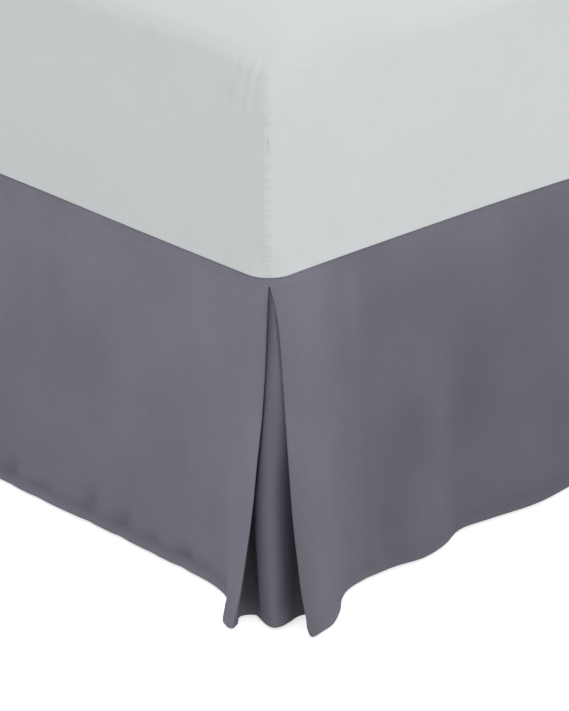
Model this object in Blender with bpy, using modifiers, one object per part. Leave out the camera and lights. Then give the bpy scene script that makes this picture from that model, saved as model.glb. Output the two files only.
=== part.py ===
"""A tailored bed skirt with an inverted pleat at each foot corner, hanging on a plain queen-size bed.

Metres, +Z up. The bed's head is towards +Y and its foot towards -Y, and it stands on the floor at z = 0.
The skirt is four pieces of cloth. The deck lies between the mattress and the box spring and turns down
over its edge, and the foot drop and two side drops are sewn to the deck's rim. The foot drop carries the
underlay of both pleats, and its seams with the side drops are hidden in the pleats' back folds.

A place near a foot corner is written as (out_side, out_foot): how far it lies outside the side face and
outside the foot face of the skirt, so (0, 0) is the sharp corner that the two faces would make.
"""

import math

import bmesh
import bpy
from mathutils import Vector

# The bed.
BED_WIDTH = 1.524
BED_LENGTH = 2.032
CORNER_RADIUS = 0.035
BOX_SPRING_TOP = 0.394
BOX_SPRING_EDGE_RADIUS = 0.012
LEG_HEIGHT = 0.160
LEG_TOP_RADIUS = 0.030
LEG_FOOT_RADIUS = 0.022
LEG_INSET = 0.080
MATTRESS_HEIGHT = 0.250
MATTRESS_TOP_RADIUS = 0.030
MATTRESS_FOOT_RADIUS = 0.006
SEAT_GAP = 0.0003

# The cloth.
CLOTH = 0.0012
HEM_CLOTH = 0.0020
HEM_HEIGHT = 0.012
HEM_STEP = 0.0015
HEM_LEVEL = 0.005
RIM_HEIGHT = 0.0080
RIM_BEND_RADIUS = 0.006
CLOTH_CLEARANCE = 0.0022

# The pleats. Their cloth lies in three layers, and layer 0 is the front.
LAYER_PITCH = 0.0030
PLEAT_DEPTH = 0.063
EDGE_GAP = 0.0010
FOLD_START = EDGE_GAP + LAYER_PITCH / 2
BACK_LAYER = 2

HALF_WIDTH = BED_WIDTH / 2
HALF_LENGTH = BED_LENGTH / 2
SKIRT_STANDOFF = CLOTH_CLEARANCE + CLOTH + BACK_LAYER * LAYER_PITCH
DECK_TOP = BOX_SPRING_TOP + SEAT_GAP + CLOTH
DROP_TOP = DECK_TOP - RIM_HEIGHT - SEAT_GAP
DROP_HEIGHT = DROP_TOP - HEM_LEVEL
HEAD_EDGE = BED_LENGTH - 0.008

# Where the hem hangs along a plain stretch, a row for each swell and hollow. Columns: distance along the
# face from its sharp corner, distance outside the face.
RIGHT_SIDE_HEM = [
    (0.132, 0.0206), (0.180, 0.0225), (0.215, 0.0280), (0.249, 0.0228), (0.301, 0.0038), (0.345, 0.0075),
    (0.425, 0.0157), (0.520, 0.0070), (0.640, 0.0140), (0.760, 0.0060), (0.880, 0.0165), (1.000, 0.0070),
    (1.130, 0.0120), (1.260, 0.0050), (1.400, 0.0150), (1.530, 0.0065), (1.670, 0.0130), (1.810, 0.0055),
    (1.930, 0.0110), (HEAD_EDGE, 0.0080),
]
LEFT_SIDE_HEM = [
    (0.132, 0.0206), (0.180, 0.0190), (0.240, 0.0240), (0.310, 0.0080), (0.400, 0.0110), (0.500, 0.0150),
    (0.610, 0.0060), (0.720, 0.0105), (0.840, 0.0050), (0.960, 0.0155), (1.090, 0.0065), (1.210, 0.0110),
    (1.330, 0.0050), (1.460, 0.0125), (1.600, 0.0055), (1.740, 0.0145), (1.880, 0.0065), (HEAD_EDGE, 0.0095),
]
FOOT_HEM = [
    (0.110, 0.0066), (0.200, 0.0066), (0.300, 0.0069), (0.380, 0.0100), (0.450, 0.0103), (0.550, 0.0065),
    (0.660, 0.0120), (0.770, 0.0075), (0.880, 0.0125), (0.980, 0.0060), (1.080, 0.0100), (1.180, 0.0080),
    (1.300, 0.0068), (1.414, 0.0066),
]

# The hem's line through a pleat, in order from the foot to the side. Columns: out_side, out_foot.
FOOT_LIP_HEM = [(-0.110, 0.0066), (-0.075, 0.0105), (-0.045, 0.0224), (-0.0146, 0.0560), (-0.0021, 0.0641),
                (0.0091, 0.0658)]
FOOT_RETURN_HEM = [(0.0091, 0.0658), (0.0060, 0.0545), (-0.0040, 0.0430), (-0.0048, 0.0325)]
UNDERLAY_HEM = [(-0.0048, 0.0325), (0.0025, 0.0238), (0.0124, 0.0253), (0.0289, 0.0302), (0.0391, 0.0301),
                (0.0435, 0.0235), (0.0429, 0.0093), (0.0400, -0.0052), (0.0420, -0.0170)]
SIDE_RETURN_HEM = [(0.0420, -0.0170), (0.0500, -0.0150), (0.0600, -0.0030), (0.0741, 0.0080),
                   (0.0855, 0.0125)]
SIDE_LIP_HEM = [(0.0855, 0.0125), (0.0829, -0.0050), (0.0774, -0.0256), (0.0599, -0.0521), (0.0407, -0.0730),
                (0.0269, -0.0974), (0.0206, -0.1320)]
LIP_STEPS = 3
FOLD_STEPS = 2

# How far a pleat's two edges have moved out to their place at the hem. Columns: share of the drop's
# height, foot edge, side edge.
OPENING = [(0.00, 0.00, 0.00), (0.13, 0.05, 0.19), (0.26, 0.10, 0.30), (0.40, 0.19, 0.39), (0.54, 0.33, 0.47),
           (0.67, 0.45, 0.55), (0.80, 0.62, 0.67), (0.92, 0.80, 0.81), (1.00, 1.00, 1.00)]
UNDERLAY_POWER = 1.9
WAVE_POWER = 1.35
LEFT_PLEAT_OPENNESS = 0.88
PLAIN_STEP = 0.060
SIDE_FIRST_STEP = 0.024
STEP_GROWTH = 1.08

HEM_SHARE = 1 - HEM_HEIGHT / DROP_HEIGHT
ABOVE_HEM_SHARE = HEM_SHARE - HEM_STEP / DROP_HEIGHT
ROW_SHARES = [0.0, 0.06, 0.14, 0.26, 0.40, 0.54, 0.68, 0.82, ABOVE_HEM_SHARE, HEM_SHARE, 1.0]

CORNER_SEGMENTS = 6
EDGE_SEGMENTS = 4
FOOT_EDGE_SEGMENTS = 2
RIM_SEGMENTS = 3
LEG_SIDES = 24
SMOOTH_ANGLE = math.radians(40)
FLAT_TOLERANCE = 0.0001
ALIGNED = 0.9

CLOTH_COLOUR = "6E6C77"
SHEET_COLOUR = "CED2D3"
BOX_SPRING_COLOUR = "E4E2DC"
LEG_COLOUR = "2B2622"


# ---- materials and objects ----


def linear(hex_colour):
    """An sRGB hex colour as linear red, green, blue and alpha."""
    values = [int(hex_colour[i:i + 2], 16) / 255 for i in (0, 2, 4)]
    return [v / 12.92 if v <= 0.04045 else ((v + 0.055) / 1.055) ** 2.4 for v in values] + [1.0]


def material(name, hex_colour, roughness):
    made = bpy.data.materials.new(name)
    made.use_nodes = True
    shader = made.node_tree.nodes["Principled BSDF"]
    shader.inputs["Base Color"].default_value = linear(hex_colour)
    shader.inputs["Roughness"].default_value = roughness
    shader.inputs["Metallic"].default_value = 0.0
    return made


def add_object(name, shape, finish, model):
    """Turns a bmesh into a named object of the model, which is its collection and its parent empty."""
    mesh = bpy.data.meshes.new(name)
    shape.to_mesh(mesh)
    shape.free()
    mesh.materials.append(finish)
    made = bpy.data.objects.new(name, mesh)
    collection, parent = model
    collection.objects.link(made)
    made.parent = parent
    return made


# ---- curves ----


def hermite(start, end, start_slope, end_slope, share):
    s2, s3 = share ** 2, share ** 3
    return (start * (2 * s3 - 3 * s2 + 1) + end * (3 * s2 - 2 * s3)
            + start_slope * (s3 - 2 * s2 + share) + end_slope * (s3 - s2))


def slope(rows, i, column):
    before, after = rows[max(i - 1, 0)], rows[min(i + 1, len(rows) - 1)]
    return (after[column] - before[column]) / (after[0] - before[0])


def value_at(rows, at, column=1):
    """A column of a table at a place in its first column, on a smooth curve through the rows."""
    i = 0
    while i < len(rows) - 2 and at > rows[i + 1][0]:
        i += 1
    span = rows[i + 1][0] - rows[i][0]
    share = min(max((at - rows[i][0]) / span, 0), 1)
    return hermite(rows[i][column], rows[i + 1][column],
                   slope(rows, i, column) * span, slope(rows, i + 1, column) * span, share)


def spline(points, steps):
    """A smooth line through the points, with that many steps between each two."""
    points = [Vector(point) for point in points]
    line = []
    for i in range(len(points) - 1):
        before, after = points[max(i - 1, 0)], points[min(i + 2, len(points) - 1)]
        start, end = points[i], points[i + 1]
        for step in range(steps):
            line.append(hermite(start, end, (end - before) / 2, (after - start) / 2, step / steps))
    return line + [points[-1]]


def with_runs(line):
    """Each point of a line with its distance from the first point."""
    runs = [0.0]
    for a, b in zip(line, line[1:]):
        runs.append(runs[-1] + (b - a).length)
    return list(zip(line, runs))


def stations(start, end, first_step):
    """Places from start to end, a first step apart at the start and then up to PLAIN_STEP."""
    places = [start]
    step = first_step
    while places[-1] + 1.5 * step < end:
        places.append(places[-1] + step)
        step = min(step * STEP_GROWTH, PLAIN_STEP)
    return places + [end]


# ---- columns of cloth ----
# A drop is a row of columns. A column is (top place, hem place, law), and its law says how the cloth moves
# from the one to the other: how much it goes with the foot edge, the side edge and the underlay of the
# pleat. The rest of it goes as a plain hanging wave does.

FOOT_EDGE_LAW = (1, 0, 0)
SIDE_EDGE_LAW = (0, 1, 0)
UNDERLAY_LAW = (0, 0, 1)
PLAIN_LAW = (0, 0, 0)


def moved_share(share, law):
    foot_edge, side_edge, underlay = law
    plain = 1 - foot_edge - side_edge - underlay
    return (foot_edge * value_at(OPENING, share, 1) + side_edge * value_at(OPENING, share, 2)
            + underlay * share ** UNDERLAY_POWER + plain * share ** WAVE_POWER)


def mixed(law_a, law_b, share):
    return tuple(a + (b - a) * share for a, b in zip(law_a, law_b))


def layer_place(layer, run):
    """A place on a layer at the top of a pleat. run is the distance from the middle of the corner, towards
    the side where it is positive and towards the foot where it is negative."""
    radius = CORNER_RADIUS - CLOTH / 2 - layer * LAYER_PITCH
    half_arc = radius * math.pi / 4
    angle = math.pi / 4 - max(-half_arc, min(half_arc, run)) / radius
    place = Vector((radius * math.cos(angle), radius * math.sin(angle))) - Vector((1, 1)) * CORNER_RADIUS
    beyond = max(abs(run) - half_arc, 0)
    return place - (Vector((0, beyond)) if run > 0 else Vector((beyond, 0)))


def lip(hem_points, plain_start, edge_law, direction):
    """The front of a pleat, from its folded edge to where the plain drop begins. direction is 1 on the
    side of the corner and -1 on its foot."""
    runs = with_runs(spline(hem_points, LIP_STEPS))
    hem_length = runs[-1][1]
    top_length = (CORNER_RADIUS - CLOTH / 2) * math.pi / 4 + plain_start - CORNER_RADIUS
    columns = []
    for place, run in runs[:-1]:
        share = run / hem_length
        top_run = FOLD_START + share * (top_length - FOLD_START)
        law = mixed(edge_law, PLAIN_LAW, share * share * (3 - 2 * share))
        columns.append((layer_place(0, direction * top_run), place, law))
    return columns


def back(hem_points, edge_law, direction):
    """The cloth that runs back under the front, from just inside the folded edge to the back fold."""
    runs = with_runs(spline(hem_points, FOLD_STEPS))
    hem_length = runs[-1][1]
    edge = runs[0][0].lerp(runs[1][0], 0.5)
    columns = [(layer_place(0.5, direction * EDGE_GAP), edge, edge_law)]
    for place, run in runs[1:-1]:
        share = run / hem_length
        top_run = FOLD_START + share * (PLEAT_DEPTH - LAYER_PITCH / 2 - FOLD_START)
        columns.append((layer_place(1, direction * top_run), place, mixed(edge_law, UNDERLAY_LAW, share)))
    return columns


def underlay():
    """The cloth behind the opening, from the back fold on the foot to the one on the side."""
    runs = with_runs(spline(UNDERLAY_HEM, FOLD_STEPS))
    columns = [(layer_place(1.5, -PLEAT_DEPTH), runs[0][0], UNDERLAY_LAW)]
    for place, run in runs[1:-1]:
        top_run = (2 * run / runs[-1][1] - 1) * (PLEAT_DEPTH - LAYER_PITCH / 2)
        columns.append((layer_place(BACK_LAYER, top_run), place, UNDERLAY_LAW))
    return columns


def seam_column(towards_side):
    """One of the two cloth edges that are sewn together, face to face, in the side's back fold. It is the
    edge of the side drop where towards_side is 1, and the edge of the underlay where it is -1."""
    top = layer_place(1.5, PLEAT_DEPTH) + Vector((towards_side * (SEAT_GAP + CLOTH) / 2, 0))
    hem = Vector(UNDERLAY_HEM[-1]) + Vector((towards_side * (SEAT_GAP + HEM_CLOTH) / 2, 0))
    return (top, hem, UNDERLAY_LAW)


def plain(hem_rows, outwards, first_step):
    """The plain stretch of a drop. outwards turns (along the face, outside it) into a place."""
    columns = []
    for along in stations(hem_rows[0][0], hem_rows[-1][0], first_step):
        columns.append((outwards(along, -CLOTH / 2), outwards(along, value_at(hem_rows, along)), PLAIN_LAW))
    return columns


def foot_half_pleat():
    """From the plain foot to the seam of the underlay."""
    front = lip(FOOT_LIP_HEM[::-1], -FOOT_LIP_HEM[0][0], FOOT_EDGE_LAW, -1)
    return front[::-1] + back(FOOT_RETURN_HEM, FOOT_EDGE_LAW, -1) + underlay() + [seam_column(-1)]


def side_half_pleat():
    """From the seam of the side drop to the plain side."""
    front = lip(SIDE_LIP_HEM, -SIDE_LIP_HEM[-1][1], SIDE_EDGE_LAW, 1)
    return [seam_column(1)] + back(SIDE_RETURN_HEM[::-1], SIDE_EDGE_LAW, 1)[::-1] + front


# ---- the drops in the bed's own frame ----


def in_bed(columns, side, openness):
    """Columns placed at the right foot corner, where side is 1, or the left one, where it is -1. openness
    is the share of the pleat's full opening that its hem has."""
    placed = []
    for top, hem, law in columns:
        ends = [Vector((side * (HALF_WIDTH + place[0]), -HALF_LENGTH - place[1])) for place in (top, hem)]
        placed.append((ends[0], ends[1], law, openness))
    return placed


def foot_columns():
    plain_foot = plain(FOOT_HEM, lambda along, outside: Vector((-along, outside)), PLAIN_STEP)
    right = in_bed(foot_half_pleat(), 1, 1.0)
    left = in_bed(foot_half_pleat(), -1, LEFT_PLEAT_OPENNESS)
    return left[::-1] + in_bed(plain_foot[::-1], 1, 1.0) + right


def side_columns(side, hem_rows, openness):
    plain_side = plain(hem_rows, lambda along, outside: Vector((outside, -along)), SIDE_FIRST_STEP)
    return in_bed(side_half_pleat(), side, openness) + in_bed(plain_side, side, 1.0)


def cloth_place(column, share):
    """Where a column lies at a share of the drop's height below its top edge."""
    top, hem, law, openness = column
    pleated = sum(law)
    moved = moved_share(share, law) * (1 + (openness - 1) * pleated)
    place = top.lerp(hem, moved)
    return Vector((place.x, place.y, DROP_TOP - share * DROP_HEIGHT))


def make_drop(name, columns, finish, model):
    """A sheet of cloth lofted from its top edge to its hem, which is turned up and so is thicker."""
    shape = bmesh.new()
    rows = [[shape.verts.new(cloth_place(column, share)) for column in columns] for share in ROW_SHARES]
    for upper, lower in zip(rows, rows[1:]):
        for i in range(len(columns) - 1):
            shape.faces.new((upper[i], lower[i], lower[i + 1], upper[i + 1]))
    shape.verts.index_update()
    hem_verts = [vert.index for row, share in zip(rows, ROW_SHARES) if share >= HEM_SHARE for vert in row]
    drop = add_object(name, shape, finish, model)
    drop.data.shade_smooth()
    drop.vertex_groups.new(name="hem").add(hem_verts, 1.0, "REPLACE")
    cloth = drop.modifiers.new("cloth", "SOLIDIFY")
    cloth.thickness = HEM_CLOTH
    cloth.offset = 0
    cloth.vertex_group = "hem"
    cloth.thickness_vertex_group = CLOTH / HEM_CLOTH


# ---- the deck and the bed ----


def box_shape(low, high):
    shape = bmesh.new()
    bmesh.ops.create_cube(shape, size=1)
    size = Vector(high) - Vector(low)
    bmesh.ops.scale(shape, vec=size, verts=shape.verts)
    bmesh.ops.translate(shape, vec=Vector(low) + size / 2, verts=shape.verts)
    return shape


def round_edges(shape, chosen, radius, segments):
    """Rounds the edges for which chosen(way, middle) is true, way being the edge's direction and middle its
    middle point."""
    edges = []
    for edge in shape.edges:
        a, b = (vert.co for vert in edge.verts)
        if chosen((b - a).normalized(), (a + b) / 2):
            edges.append(edge)
    bmesh.ops.bevel(shape, geom=edges, offset=radius, offset_type="OFFSET", segments=segments, profile=0.5,
                    affect="EDGES")


def make_block(name, low, high, corner, top_edge, foot_edge, finish, model):
    """A box with rounded upright corners and rounded top and foot edges."""
    shape = box_shape(low, high)
    round_edges(shape, lambda way, middle: abs(way.z) > ALIGNED, corner, CORNER_SEGMENTS)
    round_edges(shape, lambda way, middle: middle.z > high[2] - FLAT_TOLERANCE, top_edge, EDGE_SEGMENTS)
    round_edges(shape, lambda way, middle: middle.z < low[2] + FLAT_TOLERANCE, foot_edge, FOOT_EDGE_SEGMENTS)
    block = add_object(name, shape, finish, model)
    block.data.shade_smooth()


def make_mattress(finish, model):
    bottom = DECK_TOP + SEAT_GAP
    low = (-HALF_WIDTH, -HALF_LENGTH, bottom)
    high = (HALF_WIDTH, HALF_LENGTH, bottom + MATTRESS_HEIGHT)
    make_block("mattress", low, high, CORNER_RADIUS, MATTRESS_TOP_RADIUS, MATTRESS_FOOT_RADIUS, finish, model)


def make_box_spring(finish, model):
    low = (SKIRT_STANDOFF - HALF_WIDTH, SKIRT_STANDOFF - HALF_LENGTH, LEG_HEIGHT)
    high = (HALF_WIDTH - SKIRT_STANDOFF, HALF_LENGTH - SKIRT_STANDOFF, BOX_SPRING_TOP)
    make_block("box_spring", low, high, CORNER_RADIUS - SKIRT_STANDOFF, BOX_SPRING_EDGE_RADIUS,
               BOX_SPRING_EDGE_RADIUS, finish, model)


def make_deck(finish, model):
    """The cloth between the mattress and the box spring, turned down at the foot and both sides."""
    low = (-HALF_WIDTH, -HALF_LENGTH, DECK_TOP - RIM_HEIGHT)
    high = (HALF_WIDTH, HALF_LENGTH - SKIRT_STANDOFF, DECK_TOP)
    shape = box_shape(low, high)
    round_edges(shape, lambda way, middle: abs(way.z) > ALIGNED and middle.y < 0, CORNER_RADIUS,
                CORNER_SEGMENTS)
    round_edges(shape, lambda way, middle: middle.z > high[2] - FLAT_TOLERANCE
                and middle.y < high[1] - FLAT_TOLERANCE, RIM_BEND_RADIUS, RIM_SEGMENTS)
    open_faces = [face for face in shape.faces if face.normal.z < -ALIGNED or face.normal.y > ALIGNED]
    bmesh.ops.delete(shape, geom=open_faces, context="FACES")
    deck = add_object("deck", shape, finish, model)
    deck.data.shade_smooth()
    cloth = deck.modifiers.new("cloth", "SOLIDIFY")
    cloth.thickness = CLOTH
    cloth.offset = -1


def make_legs(finish, model):
    """Six plain tapered legs, one under each corner and one under the middle of each side."""
    height = LEG_HEIGHT - SEAT_GAP
    reach = (HALF_WIDTH - LEG_INSET, HALF_LENGTH - LEG_INSET)
    for end, along in (("foot", -1), ("middle", 0), ("head", 1)):
        for hand, across in (("left", -1), ("right", 1)):
            shape = bmesh.new()
            bmesh.ops.create_cone(shape, cap_ends=True, segments=LEG_SIDES, radius1=LEG_FOOT_RADIUS,
                                  radius2=LEG_TOP_RADIUS, depth=height)
            leg = add_object(f"leg_{end}_{hand}", shape, finish, model)
            leg.location = (across * reach[0], along * reach[1], height / 2)
            leg.data.shade_smooth()
            leg.data.set_sharp_from_angle(angle=SMOOTH_ANGLE)


# ---- the whole ----


def centre_on_origin(parent, collection):
    """Moves the model so that the middle of its outline is at x = y = 0."""
    bpy.context.view_layer.update()
    depsgraph = bpy.context.evaluated_depsgraph_get()
    corners = []
    for part in collection.objects:
        if part.type == "MESH":
            evaluated = part.evaluated_get(depsgraph)
            corners += [evaluated.matrix_world @ Vector(corner) for corner in evaluated.bound_box]
    for axis in (0, 1):
        places = [corner[axis] for corner in corners]
        parent.location[axis] = -(min(places) + max(places)) / 2
    bpy.context.view_layer.update()


def main():
    for old in list(bpy.data.objects):
        bpy.data.objects.remove(old, do_unlink=True)
    collection = bpy.data.collections.new("bed_skirt")
    bpy.context.scene.collection.children.link(collection)
    parent = bpy.data.objects.new("bed", None)
    collection.objects.link(parent)
    model = (collection, parent)

    cloth = material("brushed microfibre", CLOTH_COLOUR, 0.85)
    sheet = material("cotton sheet", SHEET_COLOUR, 0.90)
    cover = material("woven cover", BOX_SPRING_COLOUR, 0.90)
    wood = material("stained wood", LEG_COLOUR, 0.45)

    make_drop("drop_foot", foot_columns(), cloth, model)
    make_drop("drop_right", side_columns(1, RIGHT_SIDE_HEM, 1.0), cloth, model)
    make_drop("drop_left", side_columns(-1, LEFT_SIDE_HEM, LEFT_PLEAT_OPENNESS), cloth, model)
    make_deck(cloth, model)
    make_mattress(sheet, model)
    make_box_spring(cover, model)
    make_legs(wood, model)
    centre_on_origin(parent, collection)


main()
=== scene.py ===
"""The looks of a tailored bed skirt with inverted corner pleats, on a bed with a sheeted mattress.

Metres, +Z up. The head of the bed is towards +Y, and the corner that the camera looks at is the right foot
corner, at +X and -Y. A place near a foot corner is written as (out_side, out_foot): how far it lies outside
the side face and outside the foot face of the skirt, from the sharp corner that the two would make.
"""

import math
from collections import namedtuple

import bmesh
import bpy
import numpy as np
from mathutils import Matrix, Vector, noise


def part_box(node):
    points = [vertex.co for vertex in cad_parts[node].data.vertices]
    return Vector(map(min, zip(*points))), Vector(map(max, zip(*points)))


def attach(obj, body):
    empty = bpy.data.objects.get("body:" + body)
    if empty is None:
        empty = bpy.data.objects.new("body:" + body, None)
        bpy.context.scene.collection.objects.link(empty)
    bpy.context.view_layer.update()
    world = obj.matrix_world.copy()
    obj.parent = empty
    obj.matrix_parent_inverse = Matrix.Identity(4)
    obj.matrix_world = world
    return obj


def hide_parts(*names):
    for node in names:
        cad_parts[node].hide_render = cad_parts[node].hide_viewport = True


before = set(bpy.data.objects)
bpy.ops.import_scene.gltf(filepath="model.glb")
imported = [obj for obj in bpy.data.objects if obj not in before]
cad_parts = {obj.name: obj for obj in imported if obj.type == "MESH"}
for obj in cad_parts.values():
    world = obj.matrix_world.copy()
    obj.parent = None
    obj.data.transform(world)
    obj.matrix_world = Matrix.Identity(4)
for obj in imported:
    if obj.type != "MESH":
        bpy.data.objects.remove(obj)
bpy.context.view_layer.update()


def milli(*rows):
    """A table given in millimetres, and in thousandths where it holds shares."""
    return [[round(value / 1000, 7) for value in row] for row in rows]


# ---- sizes taken from the frame ----

DECK_LOW, DECK_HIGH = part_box("deck")
MATTRESS_LOW, MATTRESS_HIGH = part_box("mattress")
BOX_LOW, BOX_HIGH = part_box("box_spring")
DROP_LOW, DROP_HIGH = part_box("drop_right")
RIGHT_FACE, LEFT_FACE, FOOT_FACE = DECK_HIGH.x, DECK_LOW.x, DECK_LOW.y
BED_WIDTH = RIGHT_FACE - LEFT_FACE
BED_MIDDLE = (RIGHT_FACE + LEFT_FACE) / 2
HEAD_EDGE = DROP_HIGH.y - FOOT_FACE
RIM_BOTTOM, DECK_TOP = DECK_LOW.z, DECK_HIGH.z
HEM_LEVEL = DROP_LOW.z + 0.0003
DROP_HEIGHT = RIM_BOTTOM - HEM_LEVEL

# ---- the cloth ----

CLOTH = 0.0011
HEM_CLOTH = 0.0020
HEM_HEIGHT = 0.012
RIM_BEND = 0.0016
RIM_TURN = math.radians(80)
RIM_TILT = 0.0016
RIM_LEAN = 0.0006
RIM_ROLL = 0.018
CORNER_RADIUS = 0.035
LAYER_PITCH = 0.0018
PLEAT_DEPTH = 0.063
EDGE_GAP = 0.0010
FOLD_START = EDGE_GAP + LAYER_PITCH / 2
FOLD_SPAN = 0.003
BACK_LAYER = 2
UNDERLAY_POWER = 1.9
WAVE_POWER = 1.35
LEFT_PLEAT_OPENNESS = 0.88
SHARP_ANGLE = math.radians(50)

SEAM_GAP = 0.00004
PLAIN_STEP = 0.0055
TOP_ROWS = (0, 0.0012, 0.0028, 0.0050, 0.0080, 0.0116)
DROP_ROW_STEP = 0.0062
ARC_STEPS = 14
STEP_GROWTH = 1.09
RIM_STEPS = 5
STITCH_LINE = 0.0112
STITCH_PITCH = 0.0032
STITCH_SIZE = (0.0007, 0.0007, STITCH_PITCH * 0.72)
STITCH_LIFT = 0.0002

# The turned-up hem in section. Columns: distance above the hem's edge, and thickness from the single
# cloth's, at 0, to the whole hem's, at 1. Its stitches pull it in.
HEM_SECTION = milli(
    (0, 100), (0.4, 600), (1.2, 950), (3, 1000), (5.5, 1000), (8, 950), (9.8, 750), (10.8, 350),
    (11.4, 300), (12.2, 550), (12.8, 300), (13.6, 0), (16, 0), (19.5, 0))

# The cut sizes of the cloth, flat: the foot drop takes in both pleats and their underlays.
FOOT_CUT = (1.886, 0.406)
SIDE_CUT = (2.085, 0.406)

# How the hem hangs along a plain stretch. Columns: distance along the face from its sharp corner, distance
# outside the face.
RIGHT_SIDE_HEM = milli(
    (132, 20.6), (180, 22.5), (215, 28), (249, 22.8), (301, 3.8), (345, 7.5), (425, 15.7), (520, 7),
    (640, 14), (760, 6), (880, 16.5), (1000, 7), (1130, 12), (1260, 5), (1400, 15), (1530, 6.5), (1670, 13),
    (1810, 5.5), (1930, 11)
) + [[HEAD_EDGE, 0.008]]
LEFT_SIDE_HEM = milli(
    (132, 20.6), (180, 19), (240, 24), (310, 8), (400, 11), (500, 15), (610, 6), (720, 10.5), (840, 5),
    (960, 15.5), (1090, 6.5), (1210, 11), (1330, 5), (1460, 12.5), (1600, 5.5), (1740, 14.5), (1880, 6.5)
) + [[HEAD_EDGE, 0.0095]]
FOOT_HEM = milli(
    (110, 6.6), (200, 6.6), (300, 6.9), (380, 10), (450, 10.3), (550, 6.5), (660, 12), (770, 7.5),
    (880, 12.5), (980, 6), (1080, 10), (1180, 8), (1300, 6.8), (1414, 6.6))

# The hem's line through a pleat, from the foot to the side. Columns: out_side, out_foot. Each part ends
# where the next begins.
PLEAT_HEM = {
    "foot lip": milli((-110, 6.6), (-75, 10.5), (-45, 22.4), (-14.6, 56), (-2.1, 64.1)),
    "foot return": milli((9.1, 65.8), (6, 54.5), (-4, 43)),
    "underlay": milli(
        (-4.8, 32.5), (2.5, 23.8), (12.4, 25.3), (28.9, 30.2), (39.1, 30.1), (43.5, 23.5), (42.9, 9.3),
        (40, -5.2)),
    "side return": milli((42, -17), (50, -15), (60, -3), (74.1, 8)),
    "side lip": milli(
        (85.5, 12.5), (82.9, -5), (77.4, -25.6), (59.9, -52.1), (40.7, -73), (26.9, -97.4), (20.6, -132)),
}
PLEAT_STEPS = 9

# How far a pleat's two edges have moved out to their place at the hem. Columns: share of the drop's
# height, foot edge, side edge.
OPENING = milli(
    (0, 0, 0), (50, 20, 130), (130, 50, 230), (260, 100, 310), (400, 190, 390), (540, 330, 470),
    (670, 450, 550), (800, 620, 670), (920, 800, 810), (1000, 1000, 1000))

# How a pleat's cloth lies behind its front. Columns: share of the drop's height, depth of the hollow on the
# foot's side, depth of the one on the side's side, height of the swell between them, and the runs along the
# underlay at which the first hollow ends, the swell is highest, and the second hollow starts and is deepest.
HOLLOWS = milli(
    (0, 0, 0, 0, 50, 52, 50, 62), (50, 3, 0, 2, 49.6, 53, 50, 64), (150, 4.8, 0, 6.8, 48.7, 56.8, 49, 70),
    (250, 7, 0, 10.8, 47, 59.5, 47, 78), (350, 9.5, 0, 13, 45, 62.5, 45, 85),
    (450, 13.5, 1, 10.5, 41.5, 65.5, 45, 85), (550, 17.5, 5, 3.5, 37, 64, 45, 85),
    (650, 24, 9, 0, 30, 50, 45, 85), (750, 29, 12, 0, 27, 50, 45, 85), (800, 31, 14, 0, 27, 50, 45, 85),
    (900, 31, 15, 0, 26.5, 50, 45, 85), (950, 23, 12, 0, 26, 50, 45, 85), (1000, 0, 2, 0, 26, 50, 45, 85))
HOLLOW_EDGE = 0.004
SWELL_FALL = 1.15
TUCKED_WAY = (-0.735, -0.678)

FOOT_EDGE_LAW = (1, 0, 0)
SIDE_EDGE_LAW = (0, 1, 0)
UNDERLAY_LAW = (0, 0, 1)
PLAIN_LAW = (0, 0, 0)

# Soft creases in a drop, a row for each, from one end to the other. Columns: distance along the face from
# its right foot corner and distance below the top edge at each end, half width, height.
FOOT_CREASES = milli(
    (458, 378, 440, 350, 10, -5), (408, 378, 372, 362, 9.5, -3.4), (315, 378, 297, 345, 10.5, -5.6),
    (257, 378, 236, 350, 10.5, -5.8), (230, 352, 228, 305, 11, -1), (202, 378, 188, 358, 8.5, -3.6),
    (150, 378, 124, 359, 10, -5.4), (106, 378, 98, 362, 8.7, -2), (300, 330, 284, 300, 14, 1),
    (420, 320, 408, 290, 15, 1), (255, 120, 225, 235, 40, 1.6), (420, 90, 395, 260, 45, -1.6),
    (560, 60, 540, 300, 40, 2.2), (610, 376, 596, 347, 11.6, -3.3), (660, 376, 668, 352, 10.1, -2.5),
    (735, 376, 722, 337, 13, -3.6), (760, 80, 745, 290, 45, -1.8), (815, 376, 808, 354, 10.1, -2.8),
    (900, 376, 886, 342, 11.6, -3.6), (955, 376, 960, 357, 8.7, -2.5), (930, 70, 950, 280, 40, 1.6),
    (1030, 376, 1018, 347, 13, -3.3), (1090, 376, 1094, 354, 8.7, -2.1), (1165, 376, 1152, 337, 13, -3.6),
    (1240, 100, 1235, 300, 40, -1.6), (1235, 376, 1228, 352, 10.1, -2.5), (1310, 376, 1300, 347, 11.6, -2.8))
RIGHT_CREASES = milli(
    (118, 6, 121, 120, 12, 3.8), (152, 110, 150, 270, 18, 2.6), (209, 200, 213, 275, 26, -4.8),
    (258, 120, 252, 310, 19, 2.8), (248, 315, 270, 382, 15, 2.6), (345, 130, 322, 270, 42, -5.2),
    (224, 120, 224, 190, 20, 1.6), (405, 110, 395, 200, 30, -2.6), (402, 280, 410, 370, 36, 4.2),
    (170, 290, 166, 375, 14, -2.9), (480, 60, 470, 270, 36, 4.2), (560, 140, 575, 330, 30, -4.2),
    (660, 80, 650, 300, 34, 4.2), (750, 120, 742, 350, 30, -3.5), (850, 40, 862, 260, 36, 3.8),
    (960, 160, 950, 360, 30, -4.2), (1080, 70, 1092, 290, 36, 3.5), (1200, 140, 1190, 350, 32, -3.8),
    (1330, 60, 1345, 270, 36, 3.8), (1470, 150, 1460, 360, 32, -3.5), (1600, 80, 1610, 300, 36, 3.5),
    (1740, 130, 1728, 350, 32, -3.5), (1860, 60, 1870, 260, 34, 3.2))
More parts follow.
